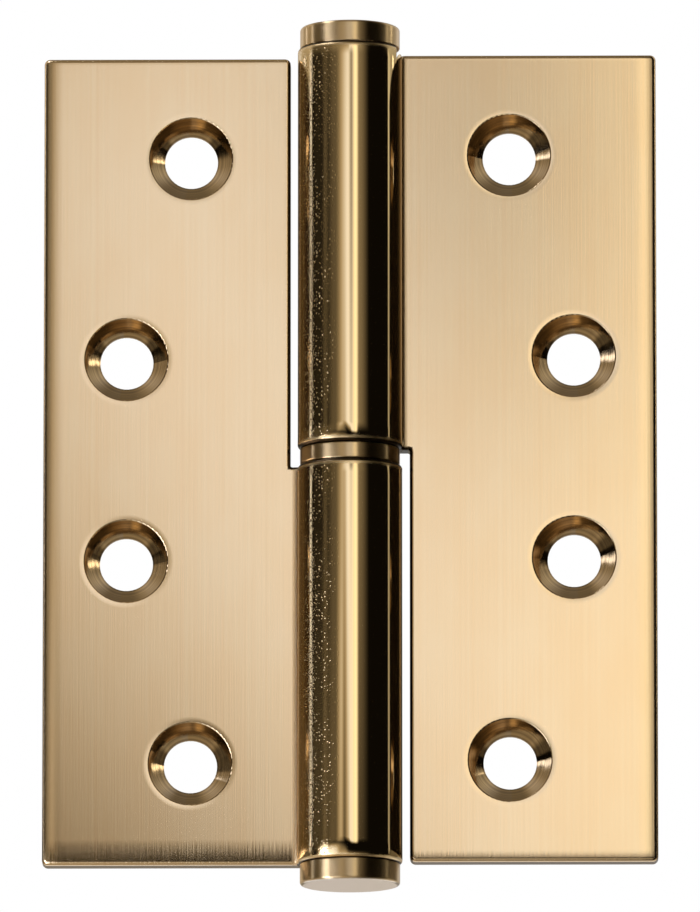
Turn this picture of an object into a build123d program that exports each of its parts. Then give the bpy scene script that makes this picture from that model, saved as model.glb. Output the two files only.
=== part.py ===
import os
from math import atan2, degrees, hypot, isclose

from build123d import *

# Lift-off butt hinge of polished brass, open flat.
# The pin axis is Z, the leaves run out along X and their countersunk faces look towards -Y.
# The origin is on the pin axis, halfway between the ends of the two caps.

# Leaves: drawn brass, each in one piece with its knuckle
leaf_height = 101.6
leaf_reach = 38.1             # pin axis to the outer edge
leaf_thickness = 3.2
closed_gap = 1.0              # between the two faces when the hinge is shut
door_lift = 0.4               # how much higher the door leaf stands than the frame leaf
corner_radius = 0.7           # corners of a leaf, seen from the front
edge_radius = 0.5             # edges of leaf and knuckle, rounded over by the polishing wheel

# Knuckles
knuckle_diameter = 13.0
root_fillet = 0.4             # where a leaf runs into its knuckle
knuckle_gap = 0.9             # between a leaf's cut edge and the other leaf's knuckle
bore_mouth_chamfer = 0.4

# Upper end of the door leaf, trimmed a little below the end of its knuckle
door_end_step = 0.6
trim_depth = 0.7              # how far the trimming cut runs into the knuckle's flank
trim_corner_radius = 1.3

# Screw holes, staggered in two pairs on each leaf
screw_hole_diameter = 6.6
countersink_diameter = 10.4
countersink_land = 0.5        # straight part of the hole, at the leaf's back
countersink_rim_radius = 0.15
hole_edge_margin = 10.3       # leaf's outer edge to the middle pair
hole_stagger = 8.0            # how much nearer the pin the end pair is
hole_end_margin = 12.7        # leaf's ends to the end pair
middle_hole_spacing = 25.4

# Pin, pressed in the lower knuckle and free in the upper one
pin_diameter = 8.0
pin_running_clearance = 0.05  # radial
pin_nose_radius = 1.5
pin_foot_chamfer = 0.5
pin_head_room = 2.0           # between the pin's nose and the upper cap

# Washer between the knuckles
washer_diameter = 12.4
washer_thickness = 2.0
washer_edge_radius = 0.2
washer_clearance = 0.1        # radial, round the pin
washer_play = 0.05            # above and below

# End caps, turned plugs
cap_diameter = 12.4
cap_height = 2.65
cap_edge_radius = 0.4
cap_seat_edge_radius = 0.15
spigot_length = 5.0
spigot_chamfer = 0.4

# Worked out from the sizes above
knuckle_radius = knuckle_diameter / 2
pin_radius = pin_diameter / 2
running_bore_radius = pin_radius + pin_running_clearance
front_depth = closed_gap / 2
back_depth = front_depth + leaf_thickness
cut_reach = knuckle_radius + knuckle_gap
trim_reach = knuckle_radius - trim_depth
cutout_corner_radius = (knuckle_gap - root_fillet) / 2
half_height = leaf_height / 2
knuckle_start = (washer_thickness + 2 * washer_play - door_lift) / 2
countersink_depth = leaf_thickness - countersink_land
countersink_slope = (countersink_diameter - screw_hole_diameter) / 2 / countersink_depth
countersink_angle = 2 * degrees(atan2(countersink_slope, 1))
middle_hole_reach = leaf_reach - hole_edge_margin
end_hole_reach = middle_hole_reach - hole_stagger
end_hole_height = half_height - hole_end_margin
frame_middle = -(door_lift + door_end_step) / 2
door_middle = frame_middle + door_lift
washer_base = frame_middle - knuckle_start + washer_play
barrel_bottom = frame_middle - half_height
barrel_top = door_middle + half_height + door_end_step
pin_bottom = barrel_bottom + spigot_length
pin_top = barrel_top - spigot_length - pin_head_room

# Planes through the pin axis: x runs out along the leaf, y along the pin to the knuckle's outer end
front = (0, -1, 0)
frame_face = Plane(origin=(0, 0, frame_middle), x_dir=(-1, 0, 0), z_dir=front)
door_face = Plane(origin=(0, 0, door_middle), x_dir=(1, 0, 0), z_dir=front)


def runs_into_knuckle(edge):
    """True for the lines along the pin where a leaf's faces run smoothly into its knuckle."""
    middle = edge.center()
    return hypot(middle.X, middle.Y) < cut_reach


def hinge_leaf(face, bore_radius, end_step):
    """A leaf with its knuckle; the knuckle's outer end stands end_step past the leaf."""
    knuckle_end = half_height + end_step
    along_pin = Axis(face.origin, face.y_dir)
    mouth = Plane(
        origin=face.from_local_coords((0, knuckle_start, 0)), x_dir=face.x_dir, z_dir=face.y_dir
    )
    hole_places = [
        (end_hole_reach, end_hole_height),
        (end_hole_reach, -end_hole_height),
        (middle_hole_reach, middle_hole_spacing / 2),
        (middle_hole_reach, -middle_hole_spacing / 2),
    ]
    with BuildPart() as leaf:
        # Drawn section: plate and knuckle, with a fillet at each root
        with BuildSketch(mouth) as section:
            Circle(knuckle_radius)
            with Locations((0, front_depth)):
                Rectangle(leaf_reach, leaf_thickness, align=(Align.MIN, Align.MIN))
            corners = section.vertices().filter_by(lambda corner: corner.Y > front_depth / 2)
            fillet(corners.sort_by(Axis.X)[:2], root_fillet)
        extrude(amount=half_height - knuckle_start)

        # Other half of the plate, cut back to clear the other leaf's knuckle
        with BuildSketch(face.offset(-back_depth)):
            with Locations((cut_reach, -half_height)):
                Rectangle(
                    leaf_reach - cut_reach,
                    half_height + knuckle_start,
                    align=(Align.MIN, Align.MIN),
                )
        extrude(amount=leaf_thickness)

        # Corners seen from the front, then all the edges
        upright = leaf.edges().filter_by(Axis.Y).sort_by(along_pin)
        fillet(upright[2], cutout_corner_radius)
        upright = leaf.edges().filter_by(Axis.Y).sort_by(along_pin)
        fillet(upright[:2] + upright[-1:], corner_radius)
        smooth = leaf.edges().filter_by(Axis.Z).filter_by(runs_into_knuckle)
        fillet(leaf.edges() - leaf.edges().filter_by(Axis.Y) - smooth, edge_radius)

        # Screw holes, their rims softened
        with Locations(face.offset(-front_depth)):
            with Locations(*hole_places):
                CounterSinkHole(
                    screw_hole_diameter / 2,
                    countersink_diameter / 2,
                    counter_sink_angle=countersink_angle,
                )
        rims = leaf.edges().filter_by(GeomType.CIRCLE).filter_by(
            lambda edge: isclose(edge.radius, countersink_diameter / 2)
        )
        fillet(rims, countersink_rim_radius)

        # Knuckle carried on past the leaf, which was trimmed with a cut into the knuckle's flank
        if end_step > 0:
            with BuildSketch(face):
                with Locations((trim_reach, half_height)):
                    Rectangle(knuckle_diameter, trim_corner_radius, align=(Align.MAX, Align.MAX))
                    Rectangle(trim_corner_radius, trim_corner_radius, align=(Align.MIN, Align.MAX))
                with Locations((trim_reach + trim_corner_radius, half_height - trim_corner_radius)):
                    Circle(trim_corner_radius, mode=Mode.SUBTRACT)
            extrude(amount=knuckle_diameter, both=True, mode=Mode.SUBTRACT)
            with BuildPart():
                with BuildSketch(face) as half_section:
                    with Locations((0, knuckle_end)):
                        Rectangle(
                            knuckle_radius,
                            trim_corner_radius + end_step,
                            align=(Align.MIN, Align.MAX),
                        )
                    fillet(half_section.vertices().group_by(Axis.X)[-1].sort_by(Axis.Y)[-1], edge_radius)
                revolve(axis=along_pin)
                with BuildSketch(face):
                    with Locations((trim_reach, knuckle_end)):
                        Rectangle(trim_depth, knuckle_radius, align=(Align.MIN, Align.MAX))
                extrude(amount=knuckle_diameter, both=True, mode=Mode.SUBTRACT)

        # Bore for the pin, with an eased mouth where the knuckles meet
        with BuildSketch(mouth):
            Circle(bore_radius)
        extrude(amount=knuckle_end - knuckle_start, mode=Mode.SUBTRACT)
        bore_rims = leaf.edges().filter_by(GeomType.CIRCLE).filter_by(
            lambda edge: isclose(edge.radius, bore_radius)
        )
        chamfer(bore_rims.sort_by(along_pin)[0], bore_mouth_chamfer)
    return leaf


def end_cap(seat, bore_radius):
    """A turned plug: a disc on the knuckle's end with a spigot in the bore; seat's z points outwards."""
    outwards = Axis(seat.origin, seat.z_dir)
    with BuildPart() as cap:
        with BuildSketch(seat):
            Circle(cap_diameter / 2)
        extrude(amount=cap_height)
        seat_rim, outer_rim = cap.edges().filter_by(GeomType.CIRCLE).sort_by(outwards)
        fillet(outer_rim, cap_edge_radius)
        fillet(seat_rim, cap_seat_edge_radius)
        with BuildSketch(seat):
            Circle(bore_radius)
        extrude(amount=-spigot_length)
        chamfer(cap.edges().filter_by(GeomType.CIRCLE).sort_by(outwards)[0], spigot_chamfer)
    return cap


# Frame leaf: left in front view, with the lower knuckle that holds the pin
frame_leaf = hinge_leaf(frame_face, pin_radius, 0)
frame_leaf.part.label = "frame_leaf"

# Door leaf: right in front view, with the upper knuckle that lifts off the pin
door_leaf = hinge_leaf(door_face, running_bore_radius, door_end_step)
door_leaf.part.label = "door_leaf"

# Pin: steel, standing on the lower cap's spigot
with BuildPart() as pin:
    with BuildSketch(Plane.XY.offset(pin_bottom)):
        Circle(pin_radius)
    extrude(amount=pin_top - pin_bottom)
    foot, nose = pin.edges().filter_by(GeomType.CIRCLE).sort_by(Axis.Z)
    chamfer(foot, pin_foot_chamfer)
    fillet(nose, pin_nose_radius)
pin.part.label = "pin"

# Washer: a loose brass ring
with BuildPart() as washer:
    with BuildSketch(Plane.XY.offset(washer_base)):
        Circle(washer_diameter / 2)
        Circle(pin_radius + washer_clearance, mode=Mode.SUBTRACT)
    extrude(amount=washer_thickness)
    fillet(washer.edges().filter_by(GeomType.CIRCLE), washer_edge_radius)
washer.part.label = "washer"

# Caps
lower_cap = end_cap(Plane(origin=(0, 0, barrel_bottom), z_dir=(0, 0, -1)), pin_radius)
lower_cap.part.label = "lower_cap"
upper_cap = end_cap(Plane(origin=(0, 0, barrel_top), z_dir=(0, 0, 1)), running_bore_radius)
upper_cap.part.label = "upper_cap"

os.makedirs("parts", exist_ok=True)
export_step(frame_leaf.part, "parts/frame_leaf.step")
export_step(door_leaf.part, "parts/door_leaf.step")
export_step(pin.part, "parts/pin.step")
export_step(washer.part, "parts/washer.step")
export_step(lower_cap.part, "parts/lower_cap.step")
export_step(upper_cap.part, "parts/upper_cap.step")
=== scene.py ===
import math

import bmesh
import bpy
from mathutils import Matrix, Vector

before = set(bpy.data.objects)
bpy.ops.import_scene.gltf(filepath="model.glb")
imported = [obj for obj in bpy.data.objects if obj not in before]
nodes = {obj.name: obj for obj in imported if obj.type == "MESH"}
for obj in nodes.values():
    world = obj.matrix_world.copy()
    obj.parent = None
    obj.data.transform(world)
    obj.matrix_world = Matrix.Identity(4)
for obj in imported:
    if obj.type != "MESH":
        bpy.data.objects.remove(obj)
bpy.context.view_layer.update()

# The two leaves: each is a length of drawn brass, plate and knuckle in one, with half the knuckle
# milled away and four countersunk holes. Flat faces are finished on a belt that leaves fine upright
# lines and softens the edges; the knuckles are buffed to a mirror and show small pits.

BRASS = (0.93, 0.71, 0.455, 1.0)
BRASS_WORN = (0.92, 0.67, 0.405, 1.0)
BRASS_BUFFED = (0.93, 0.69, 0.385, 1.0)
# Painted shade: a darker brown brass in the countersinks, darker still along the cutter's rings
SINK_SHADE = (0.62, 0.44, 0.25, 1.0)
SINK_RING_SHADE = (0.39, 0.27, 0.15, 1.0)
# Painted shade: a darker brass for the leaf's milled edge faces
MILLED_EDGE_SHADE = (0.30, 0.23, 0.165, 1.0)
# Painted shade: near black for the knuckles' end rings and the cut edge, where the parts meet
PAINTED_JOINT_SHADE = (0.045, 0.03, 0.016, 1.0)

LEAF_REACH = 38.1             # mm, pin axis to the outer edge
LEAF_HALF_HEIGHT = 50.8
LEAF_FRONT = 0.5              # behind the pin axis
LEAF_BACK = 3.7
EDGE_RADIUS = 0.5
KNUCKLE_RADIUS = 6.5
CUT_REACH = 7.4               # pin axis to the edge that clears the other knuckle
KNUCKLE_START = 0.85          # above the leaf's middle
END_HOLE = (19.8, 38.1)       # out from the pin, and from the leaf's middle
MIDDLE_HOLE = (27.8, 12.7)
SINK_RADIUS = 5.2

TOP_ROLL_OFF = (0.9, 0.05)    # width and depth of the softening in from an edge
RIM_ROLL_OFF = (0.7, 0.03)
KNUCKLE_FOOT_ROLL_OFF = (2.4, 0.42)
KNUCKLE_HEAD_ROLL_OFF = (1.8, 0.16)
BOTTOM_SPREAD = 0.25          # how unevenly the softening begins at a leaf's bottom
FOOT_SPREAD = 0.9             # and at a knuckle's lower end

PLATE_FADE = (0.02, 0.14)     # past the knuckle's radius, where the plate begins
ROOT_FADE = (0.1, 0.5)        # short of the cut, where the root begins
BACK_FADE = (0.03, 0.1)       # in from the leaf's back
SINK_FADE = (0.05, -0.1)      # past the countersink's rim
JOINT_DARK = (0.46, 0.32)     # from a knuckle's end, where its painted shade line fades in
CUT_DARK = (0.45, 0.25)       # the same from the edge that clears the other knuckle
RIM_DULL = (0.95, 0.55)       # from a knuckle's end, where the buffing stops

BELT_DEPTH = 0.003            # of the belt's lines
BELT_STRETCH = 0.008          # how slowly they change along their length
BELT_PER_MM = 5.0
RING_DEPTH = 0.0015           # of the cutter's rings in a countersink
RINGS_PER_MM = 4.0
RING_CONTRAST = 0.25
CLOUD_CONTRAST = 0.3          # of the worn, redder streaks
STREAK_SHARE = 0.5
PITTED = (-6.3, -1.9)         # across the knuckle, the side with the most pits
PITTED_FADE = 0.8
CLUSTER_FADE = (-0.35, 0.1)
PITS_PER_MM = 3.0
PIT_REACH = 0.42              # of the spacing
PIT_DEPTH = 0.05
GRAIN_DEPTH = 0.012           # of the fine grain between the pits

BUFFED_MATT = 0.07            # roughness of the knuckles
BELT_MATT = 0.19              # of the flat faces
ROOT_MATT = 0.45              # where a leaf runs into its knuckle
SINK_MATT = 0.08              # of the countersinks
MILLED_MATT = 0.32            # of the leaf's edges
RIM_MATT = 0.33               # of the knuckle's ends

MM_PER_M = 1000.0


def put(tree, kind, settings=None, sockets=None):
    """A shader node. A socket is given a value, or another node's output to be linked to."""
    made = tree.nodes.new(kind)
    for name, value in (settings or {}).items():
        setattr(made, name, value)
    for name, value in (sockets or {}).items():
        if isinstance(value, bpy.types.NodeSocket):
            tree.links.new(value, made.inputs[name])
        else:
            made.inputs[name].default_value = value
    return made


def calc(tree, operation, *values):
    """The output of a Math node."""
    return put(tree, "ShaderNodeMath", {"operation": operation}, dict(enumerate(values))).outputs[0]


def step(tree, value, start, end):
    """0 below start and 1 above end, with a smooth rise between."""
    ramp = put(
        tree,
        "ShaderNodeMapRange",
        {"interpolation_type": "SMOOTHSTEP"},
        {"Value": value, "From Min": start, "From Max": end},
    )
    return ramp.outputs["Result"]


def both(tree, *masks):
    """Masks or numbers multiplied together."""
    result = masks[0]
    for mask in masks[1:]:
        result = calc(tree, "MULTIPLY", result, mask)
    return result


def total(tree, *values):
    """Values added together."""
    result = values[0]
    for value in values[1:]:
        result = calc(tree, "ADD", result, value)
    return result


def lines(tree, distance, per_mm, detail=3.0, roughness=0.65):
    """Uneven lines side by side, from about -0.5 to 0.5, at a number of changes per mm."""
    grain = put(
        tree,
        "ShaderNodeTexNoise",
        {"noise_dimensions": "1D"},
        {"W": distance, "Scale": per_mm, "Detail": detail, "Roughness": roughness},
    )
    return calc(tree, "SUBTRACT", grain.outputs["Fac"], 0.5)


def noise(tree, place, stretch, detail=2.0, roughness=0.6):
    """Noise from about -0.5 to 0.5; stretch is how often it changes per mm along x, y and z."""
    spread = put(
        tree, "ShaderNodeVectorMath", {"operation": "MULTIPLY"}, {0: place, 1: stretch}
    )
    grain = put(
        tree,
        "ShaderNodeTexNoise",
        {},
        {"Vector": spread.outputs[0], "Scale": 1.0, "Detail": detail, "Roughness": roughness},
    )
    return calc(tree, "SUBTRACT", grain.outputs["Fac"], 0.5)


def length_of(tree, first, second):
    """Length of a flat vector."""
    squares = calc(tree, "MULTIPLY", first, first), calc(tree, "MULTIPLY", second, second)
    return calc(tree, "SQRT", calc(tree, "ADD", *squares))


def roll_off(tree, distance, width, depth, power=2):
    """Height lost at a distance from an edge, growing by a power towards the edge."""
    near = calc(tree, "SUBTRACT", 1.0, calc(tree, "DIVIDE", distance, width))
    near = calc(tree, "MAXIMUM", near, 0.0)
    return both(tree, *[near] * power, -depth)


def blend(tree, mask, low, high):
    """A number that is low where the mask is 0 and high where it is 1."""
    mixed = put(tree, "ShaderNodeMix", {"data_type": "FLOAT"}, {0: mask, 2: low, 3: high})
    return mixed.outputs[0]


def blend_colour(tree, mask, low, high):
    """A colour that is low where the mask is 0 and high where it is 1."""
    mixed = put(tree, "ShaderNodeMix", {"data_type": "RGBA"}, {0: mask, 6: low, 7: high})
    return mixed.outputs[2]


def new_metal(name):
    """An empty metal material: its node tree, its shader and the place on the piece in mm."""
    metal = bpy.data.materials.new(name)
    metal.use_nodes = True
    tree = metal.node_tree
    shader = tree.nodes["Principled BSDF"]
    shader.inputs["Metallic"].default_value = 1.0
    local = put(tree, "ShaderNodeTexCoord").outputs["Object"]
    place = put(tree, "ShaderNodeVectorMath", {"operation": "SCALE"}, {0: local, "Scale": MM_PER_M})
    return metal, tree, shader, place.outputs[0]


def raise_surface(tree, shader, height):
    """Bump from a height in mm; gives back the bumpy normal."""
    bump = put(tree, "ShaderNodeBump", {}, {"Height": height, "Strength": 1.0, "Distance": 1 / MM_PER_M})
    tree.links.new(bump.outputs["Normal"], shader.inputs["Normal"])
    return bump.outputs["Normal"]


def pits(tree, place, per_mm, reach, depth):
    """Small round pits, some deeper than others."""
    cells = put(tree, "ShaderNodeTexVoronoi", {}, {"Vector": place, "Scale": per_mm})
    hollow = step(tree, cells.outputs["Distance"], reach, 0.0)
    chance = put(tree, "ShaderNodeSeparateXYZ", {}, {0: cells.outputs["Color"]}).outputs[0]
    return both(tree, hollow, chance, -depth)


def leaf_brass(
    name, middle, knuckle_side, knuckle_ends, bottom_roll_off, side_roll_off, tip_shade_trim, sink_lean=0.0
):
    """Drawn brass for a leaf whose middle is at that height; knuckle_side is 1 with the knuckle above.

    The painted shade line at the knuckle's end is thinner beside the cap by the width given for its tip.
    What the countersinks mirror is turned about the pin by sink_lean.
    """
    metal, tree, shader, place = new_metal(name)
    x, y, z = put(tree, "ShaderNodeSeparateXYZ", {}, {0: place}).outputs
    out = calc(tree, "ABSOLUTE", x)
    along = calc(tree, "MULTIPLY", calc(tree, "SUBTRACT", z, middle), knuckle_side)
    from_middle = calc(tree, "ABSOLUTE", along)
    radius = length_of(tree, x, y)

    hole_distances = [
        length_of(tree, calc(tree, "SUBTRACT", out, reach), calc(tree, "SUBTRACT", from_middle, rise))
        for reach, rise in (END_HOLE, MIDDLE_HOLE)
    ]
    hole_distance = calc(tree, "MINIMUM", *hole_distances)
    plate = step(tree, radius, KNUCKLE_RADIUS + PLATE_FADE[0], KNUCKLE_RADIUS + PLATE_FADE[1])
    knuckle = calc(tree, "SUBTRACT", 1.0, plate)
    root = both(tree, plate, step(tree, out, CUT_REACH - ROOT_FADE[0], CUT_REACH - ROOT_FADE[1]))
    front = step(tree, y, LEAF_BACK - BACK_FADE[0], LEAF_BACK - BACK_FADE[1])
    from_sink = calc(tree, "SUBTRACT", hole_distance, SINK_RADIUS)
    sink = both(tree, front, step(tree, from_sink, *SINK_FADE))
    flat = both(tree, plate, calc(tree, "SUBTRACT", 1.0, sink))
    milled = both(
        tree,
        flat,
        step(tree, y, LEAF_FRONT + EDGE_RADIUS / 2, LEAF_FRONT + EDGE_RADIUS),
        step(tree, y, LEAF_BACK - EDGE_RADIUS / 2, LEAF_BACK - EDGE_RADIUS),
    )

    # Softened edges, hole rims and knuckle ends
    spread = calc(tree, "MULTIPLY", lines(tree, x, per_mm=3.0), BOTTOM_SPREAD)
    from_bottom = total(tree, calc(tree, "SUBTRACT", z, middle - LEAF_HALF_HEIGHT), spread)
    from_top = calc(tree, "SUBTRACT", middle + LEAF_HALF_HEIGHT, z)
    from_side = calc(tree, "SUBTRACT", LEAF_REACH, out)
    from_cut = calc(
        tree,
        "MAXIMUM",
        calc(tree, "SUBTRACT", out, CUT_REACH),
        calc(tree, "SUBTRACT", along, KNUCKLE_START),
    )
    softened = total(
        tree,
        roll_off(tree, from_bottom, *bottom_roll_off),
        roll_off(tree, from_top, *TOP_ROLL_OFF),
        roll_off(tree, from_side, *side_roll_off, power=3),
        roll_off(tree, from_cut, *RIM_ROLL_OFF),
        both(tree, front, roll_off(tree, from_sink, *RIM_ROLL_OFF)),
    )
    softened = both(tree, softened, flat)
    from_foot = calc(tree, "SUBTRACT", z, knuckle_ends[0])
    from_head = calc(tree, "SUBTRACT", knuckle_ends[1], z)
    foot_lines = lines(tree, x, per_mm=0.3, detail=1.0)
    uneven_foot = total(tree, from_foot, both(tree, foot_lines, FOOT_SPREAD))
    knuckle_softened = total(
        tree,
        roll_off(tree, uneven_foot, *KNUCKLE_FOOT_ROLL_OFF),
        roll_off(tree, from_head, *KNUCKLE_HEAD_ROLL_OFF),
    )
    softened = total(tree, softened, both(tree, knuckle, knuckle_softened))

    # Belt lines on the plate, cutter rings in the countersinks, grain and pits in the knuckle
    along_belt = calc(tree, "MULTIPLY", z, BELT_STRETCH)
    belt_place = put(tree, "ShaderNodeCombineXYZ", {}, {0: x, 1: along_belt}).outputs[0]
    belt = put(
        tree,
        "ShaderNodeTexNoise",
        {"noise_dimensions": "2D"},
        {"Vector": belt_place, "Scale": BELT_PER_MM, "Detail": 3.0, "Roughness": 0.7},
    )
    belt_lines = both(tree, belt.outputs["Fac"], flat, BELT_DEPTH)
    cutter = lines(tree, hole_distance, RINGS_PER_MM)
    rings = both(tree, cutter, sink, RING_DEPTH)
    cluster = both(
        tree,
        step(tree, noise(tree, place, stretch=(0.3, 0.3, 0.12), detail=1.0), *CLUSTER_FADE),
        step(tree, x, PITTED[0] - PITTED_FADE, PITTED[0] + PITTED_FADE),
        step(tree, x, PITTED[1] + PITTED_FADE, PITTED[1] - PITTED_FADE),
    )
    pitted = total(
        tree,
        pits(tree, place, PITS_PER_MM, PIT_REACH, PIT_DEPTH),
        both(tree, noise(tree, place, stretch=(7.0, 7.0, 7.0), detail=1.0), GRAIN_DEPTH),
    )
    pitted = both(tree, pitted, cluster, knuckle)
    raised = raise_surface(tree, shader, total(tree, softened, belt_lines, rings, pitted))

    # Countersinks that shine to one side
    if sink_lean:
        leaned = put(
            tree,
            "ShaderNodeVectorRotate",
            {"rotation_type": "Z_AXIS"},
            {"Vector": raised, "Angle": both(tree, sink, sink_lean)},
        )
        tree.links.new(leaned.outputs[0], shader.inputs["Normal"])

    # Cloudy streaks on the plate, and painted shade on the dull milled edges, in the countersinks, in
    # the joints and along the cut edge
    cloud = total(
        tree,
        noise(tree, place, stretch=(0.12, 0.12, 0.05)),
        both(tree, lines(tree, x, per_mm=1.8), STREAK_SHARE),
    )
    from_mouth, from_tip = (from_foot, from_head) if knuckle_side > 0 else (from_head, from_foot)
    from_joint = calc(tree, "MINIMUM", from_mouth, total(tree, from_tip, tip_shade_trim))
    # Painted shade where the parts meet: the knuckle's end rings and the leaf's cut edge
    joint = both(tree, knuckle, step(tree, from_joint, *JOINT_DARK))
    cut_face = both(tree, plate, step(tree, from_cut, *CUT_DARK))
    # painted shade in the countersinks, deeper along the cutter's rings
    deep_ring = step(tree, cutter, -RING_CONTRAST, RING_CONTRAST)
    sink_colour = blend_colour(tree, deep_ring, SINK_SHADE, SINK_RING_SHADE)
    worn = step(tree, cloud, -CLOUD_CONTRAST, CLOUD_CONTRAST)
    colour = blend_colour(tree, worn, BRASS, BRASS_WORN)
    colour = blend_colour(tree, knuckle, colour, BRASS_BUFFED)
    # painted shade on the milled edge faces
    colour = blend_colour(tree, milled, colour, MILLED_EDGE_SHADE)
    colour = blend_colour(tree, sink, colour, sink_colour)
    colour = blend_colour(tree, calc(tree, "MAXIMUM", joint, cut_face), colour, PAINTED_JOINT_SHADE)
    tree.links.new(colour, shader.inputs["Base Color"])
    matt = blend(tree, plate, BUFFED_MATT, BELT_MATT)
    matt = blend(tree, root, matt, ROOT_MATT)
    matt = blend(tree, sink, matt, SINK_MATT)
    matt = blend(tree, milled, matt, MILLED_MATT)
    knuckle_rim = both(tree, knuckle, step(tree, from_joint, *RIM_DULL))
    matt = blend(tree, knuckle_rim, matt, RIM_MATT)
    tree.links.new(matt, shader.inputs["Roughness"])
    return metal


def dress(node, metal):
    """Gives a solid its finish."""
    nodes[node].data.materials.clear()
    nodes[node].data.materials.append(metal)


frame_leaf_brass = leaf_brass(
    "frame_leaf_brass",
    middle=-0.5,
    knuckle_side=-1.0,
    knuckle_ends=(-51.3, -1.35),
    bottom_roll_off=(3.2, 0.22),
    side_roll_off=(2.8, 0.26),
    tip_shade_trim=0.25,
)
door_leaf_brass = leaf_brass(
    "door_leaf_brass",
    middle=-0.1,
    knuckle_side=1.0,
    knuckle_ends=(0.75, 51.3),
    bottom_roll_off=(1.5, 0.09),
    side_roll_off=(3.0, 0.16),
    tip_shade_trim=0.10,
    sink_lean=math.radians(-3.0),
)
dress("frame_leaf", frame_leaf_brass)
dress("door_leaf", door_leaf_brass)

# The pin: a ground steel rod, pressed into the lower knuckle and free to turn in the upper one.
# It shows only when the door leaf is lifted off.

STEEL = (0.56, 0.56, 0.57, 1.0)
STEEL_MATT = 0.25
STEEL_MATT_SPREAD = 0.15
GRINDING_DEPTH = 0.004        # mm

metal, tree, shader, place = new_metal("ground_steel")
shader.inputs["Base Color"].default_value = STEEL
grinding = noise(tree, place, stretch=(0.4, 0.4, 9.0), detail=4.0)
raise_surface(tree, shader, both(tree, grinding, GRINDING_DEPTH))
cloud = noise(tree, place, stretch=(0.3, 0.3, 0.1))
matt = total(tree, both(tree, cloud, STEEL_MATT_SPREAD), STEEL_MATT)
tree.links.new(matt, shader.inputs["Roughness"])
dress("pin", metal)

# The washer and the two end caps: brass turned on a lathe, left with the fine lines of the tool.
# The washer is loose on the pin, the caps are plugs pressed into the knuckles.

TURNED_BRASS = (0.92, 0.67, 0.38, 1.0)
# Painted sheen: a paler, pinker brass on the caps' end faces for the pale light they mirror
END_FACE_SHEEN = (0.88, 0.75, 0.61, 1.0)
CAP_END = 53.95               # mm above and below the middle
CAP_END_FADE = (0.2, 0.05)
TOOL_LINES_PER_MM = 5.0
END_LINES_SHARE = 0.1         # of them on an end
GLOSS_ALONG = (0.0, 0.05, 1.0)    # nearly along the pin


def turned_brass(name, line_depth, matt):
    """Brass with turning lines of a given depth in mm, whose gloss spreads across the lines."""
    metal, tree, shader, place = new_metal(name)
    x, y, z = put(tree, "ShaderNodeSeparateXYZ", {}, {0: place}).outputs
    along_tool = total(tree, z, both(tree, length_of(tree, x, y), END_LINES_SHARE))
    tool_lines = lines(tree, along_tool, TOOL_LINES_PER_MM)
    from_middle = calc(tree, "ABSOLUTE", z)
    end = step(tree, from_middle, CAP_END - CAP_END_FADE[0], CAP_END - CAP_END_FADE[1])
    # painted sheen on the caps' end faces
    tree.links.new(blend_colour(tree, end, TURNED_BRASS, END_FACE_SHEEN), shader.inputs["Base Color"])
    raise_surface(tree, shader, calc(tree, "MULTIPLY", tool_lines, line_depth))
    shader.inputs["Roughness"].default_value = matt
    shader.inputs["Anisotropic"].default_value = 1.0
    upright = put(tree, "ShaderNodeCombineXYZ", {}, dict(enumerate(GLOSS_ALONG))).outputs[0]
    tree.links.new(upright, shader.inputs["Tangent"])
    return metal


cap_brass = turned_brass("cap_brass", line_depth=0.008, matt=0.30)
dress("lower_cap", cap_brass)
dress("upper_cap", cap_brass)
dress("washer", turned_brass("washer_brass", line_depth=0.006, matt=0.28))

# The studio: a pale floor, white all round, and a light tent that the polished metal mirrors.
# The tent has a pale card in front, dark sides, a white sweep behind and a few small bright lamps.

FLOOR_DROP = 0.6              # m below the hinge
FLOOR_SIZE = 30.0
FLOOR_PALE = (0.86, 0.86, 0.86, 1.0)
FLOOR_MATT = 0.7
TENT_RADIUS = 0.3
TENT_DARK = 0.004
TENT_WARM = (1.0, 0.86, 0.60, 1.0)
TENT_GOLDEN = (1.0, 0.95, 0.78, 1.0)
TENT_NEUTRAL = (1.0, 1.01, 1.03, 1.0)
TENT_COOL = (1.0, 1.05, 1.17, 1.0)
LEFT_COOLS = (0.3, 1.0)       # level of light where warm turns cool on the left
RIGHT_PALES = (0.1, 0.5)      # and where warm turns pale on the right
LEFT_BEGINS = (3.0, -5.0)     # degrees across
GOLDEN_BEGINS = (5.0, 9.5)
GOLDEN_ENDS = (150.0, 110.0)

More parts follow.
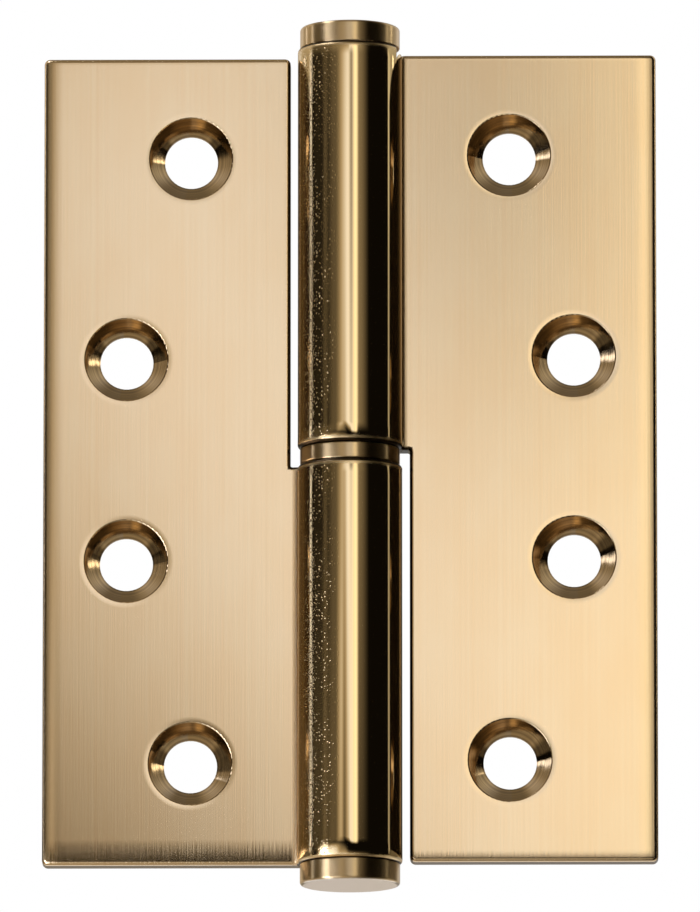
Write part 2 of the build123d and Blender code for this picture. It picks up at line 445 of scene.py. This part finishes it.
# Panels of the tent: degrees across and up where each fades in and out again, and its level.
# Across runs from the front to the right; those of the second list are on both sides.
PANELS = [
    ((-32, 0, -3, 1.7), (-12, 9, 16, 42), 1.08),          # front card, left part
    ((-3, 1.7, 13, 20), (-12, -5, 30, 42), 1.06),         # front card, right part
    ((3, 8, 13, 19), (-12, -5, 30, 42), 0.12),            # brighter towards its right side
    ((9, 12, 16, 21), (-12, -5, 30, 42), 0.20),           # and more so at its right edge
    ((14, 19, 20, 44), (-10, 14, 30, 42), 0.22),          # its right fringe
    ((-52, -34, -30, -8), (-15, -5, 30, 42), 0.11),       # its left fringe
    ((-90, -84, -50, -30), (-20, -10, 24, 34), 0.015),    # dim left wall
    ((-62, -57, -53, -48), (-30, -15, 28, 36), 0.08),     # stripe on the left wall
    ((-99, -97, -94, -92), (-24, -10, 22, 30), 0.35),     # edge light on the left
    ((-99, -97, -94, -92), (-24, -10, 4, 12), 0.40),      # brighter lower half of it
    ((-90, -84, -50, -30), (-20, -10, 0, 7), 0.05),       # left wall, lower part
    ((-30, -20, -16, -11), (-14, -8, 2, 9), 0.25),        # front card, lower left
    ((-68, -62, -54, -46), (-62, -46, -24, -12), 5.0),    # low lamp on the left
    ((-82, -57, -40, -8), (-62, -42, -26, -10), 1.2),     # glow round that lamp
    ((-86, -79, -67, -59), (48, 54, 66, 72), 8.0),        # high lamp on the left
    ((-112, -80, 10, 50), (19, 40, 90, 91), 0.20),        # ceiling, left and front
    ((-112, -80, 10, 50), (-91, -90, -40, -24), 0.36),    # ground, left and front
]
SIDE_PANELS = [
    ((92, 94, 97, 99), (-24, -10, 22, 30), 0.45),         # edge lights
    ((92, 98, 104, 108), (13, 19, 40, 60), 0.40),         # upper walls beside the hinge
    ((104, 108, 140, 160), (8, 13, 40, 60), 0.36),        # upper walls behind it
    ((107, 108, 112, 114), (-16, -8, 8, 13), 0.12),       # dim stripes behind it
    ((96, 104, 140, 170), (-50, -30, -14, -8), 0.12),     # lower walls behind it
    ((125, 150, 181, 182), (-26, -14, 20, 40), 0.50),     # sweep at the back
    ((120, 150, 181, 182), (-68, -55, -38, -22), 0.75),   # its foot
    ((80, 112, 181, 182), (19, 40, 90, 91), 0.22),        # ceiling, sides and back
    ((80, 112, 181, 182), (-91, -90, -40, -24), 0.36),    # ground, sides and back
]
# Narrow strips at the back, one on each side, that glint in the countersinks
STRIPS = [
    ((109.2, 109.8, 111.0, 111.9), (-2, 1, 20, 24), 3.4),
    ((-120.0, -119.0, -117.4, -116.6), (-2, 1, 20, 24), 2.6),
]
# Soft shadows on the front card: place, reach across and up, and how much darker
SHADES = [((-11, -7), (9, 26), 0.8), ((3.5, 20), (7.5, 17), 0.70)]


def sheet_mesh(name, corners, faces):
    """A mesh object for the studio."""
    mesh = bpy.data.meshes.new(name)
    mesh.from_pydata(corners, [], faces)
    made = bpy.data.objects.new(name, mesh)
    bpy.context.scene.collection.objects.link(made)
    return made


half = FLOOR_SIZE / 2
floor_corners = [
    (-half, -half, -FLOOR_DROP),
    (half, -half, -FLOOR_DROP),
    (half, half, -FLOOR_DROP),
    (-half, half, -FLOOR_DROP),
]
floor = sheet_mesh("studio_floor", floor_corners, [(0, 1, 2, 3)])
paint = bpy.data.materials.new("floor_paint")
paint.use_nodes = True
paint.node_tree.nodes["Principled BSDF"].inputs["Base Color"].default_value = FLOOR_PALE
paint.node_tree.nodes["Principled BSDF"].inputs["Roughness"].default_value = FLOOR_MATT
floor.data.materials.append(paint)

ball = bmesh.new()
bmesh.ops.create_uvsphere(ball, u_segments=96, v_segments=48, radius=TENT_RADIUS)
tent = sheet_mesh("light_tent", [], [])
ball.to_mesh(tent.data)
ball.free()
tent.visible_camera = False
tent.visible_shadow = False
tent.visible_diffuse = False

glow = bpy.data.materials.new("tent_glow")
glow.use_nodes = True
glow.cycles.emission_sampling = "NONE"
tree = glow.node_tree
tree.nodes.remove(tree.nodes["Principled BSDF"])
local = put(tree, "ShaderNodeTexCoord").outputs["Object"]
outwards = put(tree, "ShaderNodeVectorMath", {"operation": "NORMALIZE"}, {0: local}).outputs[0]
x, y, z = put(tree, "ShaderNodeSeparateXYZ", {}, {0: outwards}).outputs
across = calc(tree, "DEGREES", calc(tree, "ARCTAN2", x, calc(tree, "MULTIPLY", y, -1.0)))
upwards = calc(tree, "DEGREES", calc(tree, "ARCSINE", z))
from_front = calc(tree, "ABSOLUTE", across)

lit = [TENT_DARK]
for turn, panels in [(across, PANELS + STRIPS), (from_front, SIDE_PANELS)]:
    for sides, ends, level in panels:
        lit.append(both(
            tree,
            step(tree, turn, sides[0], sides[1]),
            step(tree, turn, sides[3], sides[2]),
            step(tree, upwards, ends[0], ends[1]),
            step(tree, upwards, ends[3], ends[2]),
            level,
        ))
level = total(tree, *lit)
for (turn, rise), (width, height), depth in SHADES:
    apart = length_of(
        tree,
        calc(tree, "DIVIDE", calc(tree, "SUBTRACT", across, turn), width),
        calc(tree, "DIVIDE", calc(tree, "SUBTRACT", upwards, rise), height),
    )
    shade = both(tree, step(tree, apart, 1.0, 0.0), depth)
    level = calc(tree, "MULTIPLY", level, calc(tree, "SUBTRACT", 1.0, shade))
left_tint = blend_colour(tree, step(tree, level, *LEFT_COOLS), TENT_WARM, TENT_COOL)
golden = both(tree, step(tree, across, *GOLDEN_BEGINS), step(tree, across, *GOLDEN_ENDS))
right_tint = blend_colour(tree, golden, TENT_NEUTRAL, TENT_GOLDEN)
right_tint = blend_colour(tree, step(tree, level, *RIGHT_PALES), TENT_WARM, right_tint)
tint = blend_colour(tree, step(tree, across, *LEFT_BEGINS), right_tint, left_tint)
light = put(tree, "ShaderNodeEmission", {}, {"Color": tint, "Strength": level})
tree.links.new(light.outputs[0], tree.nodes["Material Output"].inputs["Surface"])
tent.data.materials.append(glow)

# White all round: full white where the camera or a mirror looks, softer as light on the floor
WHITE = (1.0, 1.0, 1.0, 1.0)
SKY_SEEN = 1.0
SKY_ON_FLOOR = 0.8

world = bpy.data.worlds.new("white_studio")
bpy.context.scene.world = world
world.use_nodes = True
tree = world.node_tree
rays = put(tree, "ShaderNodeLightPath").outputs
seen = total(tree, rays["Is Camera Ray"], rays["Is Glossy Ray"], rays["Is Transmission Ray"])
seen = calc(tree, "MINIMUM", seen, 1.0)
background = tree.nodes["Background"]
background.inputs["Color"].default_value = WHITE
tree.links.new(blend(tree, seen, SKY_ON_FLOOR, SKY_SEEN), background.inputs["Strength"])

# The camera: a long lens, a little below the hinge and looking up at it.
# Its angles and lens were fitted to the holes and edges in the photograph, from about 1.9 m away.

AZIMUTH = math.radians(0.68)
ELEVATION = math.radians(-9.92)
DISTANCE = 1.886              # m
AIM = Vector((0.0, 0.0, -0.0001))
LENS = 600.0                  # mm
SENSOR = 36.0                 # along the frame's long side

back = Vector((
    math.sin(AZIMUTH) * math.cos(ELEVATION),
    -math.cos(AZIMUTH) * math.cos(ELEVATION),
    math.sin(ELEVATION),
))
camera = bpy.data.objects.new("camera", bpy.data.cameras.new("camera"))
bpy.context.scene.collection.objects.link(camera)
camera.data.lens = LENS
camera.data.sensor_width = SENSOR
camera.data.clip_end = 100.0
camera.location = AIM + back * DISTANCE
camera.rotation_mode = "QUATERNION"
camera.rotation_quaternion = (-back).to_track_quat("-Z", "Y")
bpy.context.scene.camera = camera

bpy.context.scene.view_settings.view_transform = "Standard"
